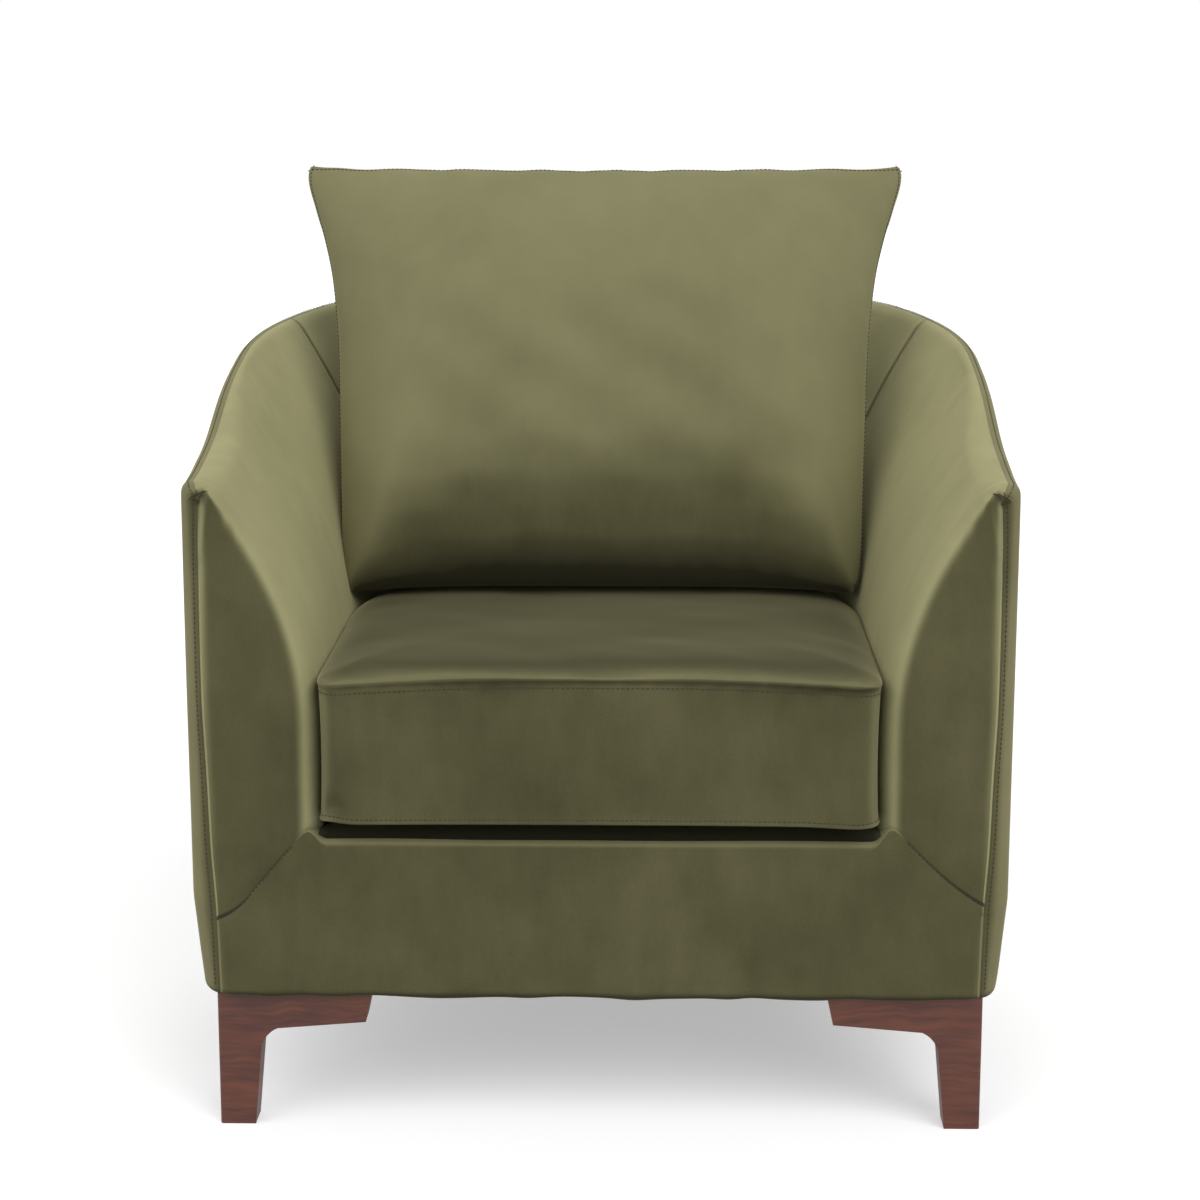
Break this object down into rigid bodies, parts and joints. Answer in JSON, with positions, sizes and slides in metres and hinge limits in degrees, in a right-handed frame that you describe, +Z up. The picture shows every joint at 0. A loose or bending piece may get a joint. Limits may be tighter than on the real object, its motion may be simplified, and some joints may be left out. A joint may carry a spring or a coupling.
{
  "type": "tub armchair",
  "caption": "Upholstered tub armchair with flared padded arms, a loose boxed seat cushion, a loose knife-edge back pillow and bracket wood feet.",
  "frame": {"origin": "on the floor, under the middle of the chair's bounding box", "axes": "+Z up, the front of the chair faces -Y, +X to the right when looking along +Y at its front"},
  "size_m": [0.776, 0.776, 0.892],
  "materials": {
    "velvet": "olive velvet",
    "foot_wood": "reddish brown stain, satin",
    "foam": "matt",
    "plywood": "raw",
    "frame_wood": "raw",
    "fibreboard": "raw",
    "webbing": "woven",
    "dust_cloth": "matt",
    "zip_tape": "woven",
    "zip_metal": "dull"
  },
  "bodies": {
    "chair_body": {"apron_cover": "velvet", "apron_foam": "foam", "arm_foam_left": "foam", "arm_foam_right": "foam", "arm_front_board_left": "plywood", "arm_front_board_right": "plywood", "arm_stud_front_left": "frame_wood", "arm_stud_front_right": "frame_wood", "arm_stud_rear_left": "frame_wood", "arm_stud_rear_right": "frame_wood", "arm_top_rail_left": "frame_wood", "arm_top_rail_right": "frame_wood", "back_foam_left": "foam", "back_foam_middle": "foam", "back_foam_right": "foam", "back_rail": "frame_wood", "back_stud_left": "frame_wood", "back_stud_middle": "frame_wood", "back_stud_right": "frame_wood", "back_top_rail": "frame_wood", "base_ring": "plywood", "corner_block_left": "frame_wood", "corner_block_right": "frame_wood", "deck_cover": "velvet", "deck_pad": "foam", "dust_cover": "dust_cloth", "front_foot_left": "foot_wood", "front_foot_right": "foot_wood", "front_rail": "frame_wood", "inside_arm_board_left": "fibreboard", "inside_arm_board_right": "fibreboard", "inside_arm_cover_left": "velvet", "inside_arm_cover_right": "velvet", "inside_back_cover": "velvet", "outside_arm_cover_left": "velvet", "outside_arm_cover_right": "velvet", "outside_back_cover": "velvet", "outside_board_back": "fibreboard", "outside_board_left": "fibreboard", "outside_board_right": "fibreboard", "rear_foot_left": "foot_wood", "rear_foot_right": "foot_wood", "seat_webbing_cross": "webbing", "seat_webbing_long": "webbing", "side_rail_left": "frame_wood", "side_rail_right": "frame_wood"},
    "seat_cushion": {"seat_cushion_cover": "velvet", "seat_cushion_foam": "foam", "seat_zip_tape": "zip_tape"},
    "back_pillow_body": {"back_pillow": "velvet", "pillow_zip_tape": "zip_tape"},
    "seat_zip": {"seat_zip_slider": "zip_metal"},
    "pillow_zip": {"pillow_zip_slider": "zip_metal"}
  },
  "joints": [
    {"name": "seat_cushion_slide", "type": "slide", "parent": "chair_body", "child": "seat_cushion", "axis": [0, -1, 0], "range_m": [0, 0.6]},
    {"name": "back_pillow_lift", "type": "slide", "parent": "chair_body", "child": "back_pillow_body", "axis": [0, 0, 1], "range_m": [0, 0.5]},
    {"name": "seat_zip_slide", "type": "hinge", "parent": "seat_cushion", "child": "seat_zip", "pos_m": [0, -0.076, 0.3735], "axis": [0, 0, 1], "range_deg": [-84, 0]},
    {"name": "pillow_zip_slide", "type": "slide", "parent": "back_pillow_body", "child": "pillow_zip", "axis": [1, 0, 0], "range_m": [0, 0.35]}
  ]
}
